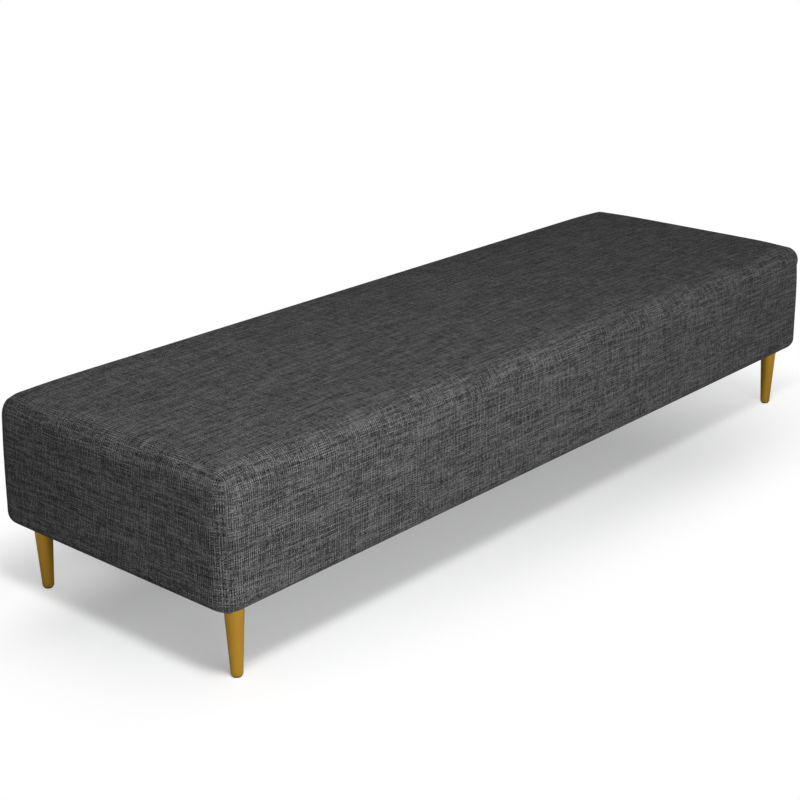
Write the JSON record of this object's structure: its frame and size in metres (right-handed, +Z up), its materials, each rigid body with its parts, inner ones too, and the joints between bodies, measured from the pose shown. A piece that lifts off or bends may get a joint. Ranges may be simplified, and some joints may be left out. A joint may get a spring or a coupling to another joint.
{
  "type": "upholstered bench",
  "caption": "Long low padded bench, a boxed upholstered seat with rolled edges on short tapered round legs.",
  "frame": {"origin": "on the floor, below the middle of the bench", "axes": "+X along the bench's length, -Y towards the front, +Z up"},
  "size_m": [2.0316, 0.66, 0.4318],
  "materials": {
    "upholstery_fabric": "matte",
    "foam": "matte",
    "frame_wood": "matte",
    "webbing": "matte",
    "spring_cloth": "matte",
    "dust_cloth": "matte",
    "leg_finish": "satin",
    "glide_plastic": "matte",
    "zinc_steel": "satin"
  },
  "bodies": {
    "root": {"rail_front": "frame_wood", "rail_back": "frame_wood", "rail_left": "frame_wood", "rail_right": "frame_wood", "stretcher_1": "frame_wood", "stretcher_2": "frame_wood", "stretcher_3": "frame_wood", "leg_block_front_left": "frame_wood", "leg_block_front_right": "frame_wood", "leg_block_back_left": "frame_wood", "leg_block_back_right": "frame_wood", "corner_brace_front_left": "frame_wood", "corner_brace_front_right": "frame_wood", "corner_brace_back_left": "frame_wood", "corner_brace_back_right": "frame_wood", "cross_strap_01": "webbing", "cross_strap_02": "webbing", "cross_strap_03": "webbing", "cross_strap_04": "webbing", "cross_strap_05": "webbing", "cross_strap_06": "webbing", "cross_strap_07": "webbing", "cross_strap_08": "webbing", "cross_strap_09": "webbing", "cross_strap_10": "webbing", "cross_strap_11": "webbing", "cross_strap_12": "webbing", "cross_strap_13": "webbing", "long_strap_1": "webbing", "long_strap_2": "webbing", "long_strap_3": "webbing", "spring_cloth": "spring_cloth", "seat_foam": "foam", "side_pad_front": "foam", "side_pad_back": "foam", "side_pad_left": "foam", "side_pad_right": "foam", "cover_main": "upholstery_fabric", "cover_end_left": "upholstery_fabric", "cover_end_right": "upholstery_fabric", "dust_cover": "dust_cloth", "leg_front_left": "leg_finish", "leg_front_right": "leg_finish", "leg_back_left": "leg_finish", "leg_back_right": "leg_finish", "glide_front_left": "glide_plastic", "glide_front_right": "glide_plastic", "glide_back_left": "glide_plastic", "glide_back_right": "glide_plastic", "hanger_bolt_front_left": "zinc_steel", "hanger_bolt_front_right": "zinc_steel", "hanger_bolt_back_left": "zinc_steel", "hanger_bolt_back_right": "zinc_steel", "tee_nut_front_left": "zinc_steel", "tee_nut_front_right": "zinc_steel", "tee_nut_back_left": "zinc_steel", "tee_nut_back_right": "zinc_steel"}
  },
  "joints": []
}
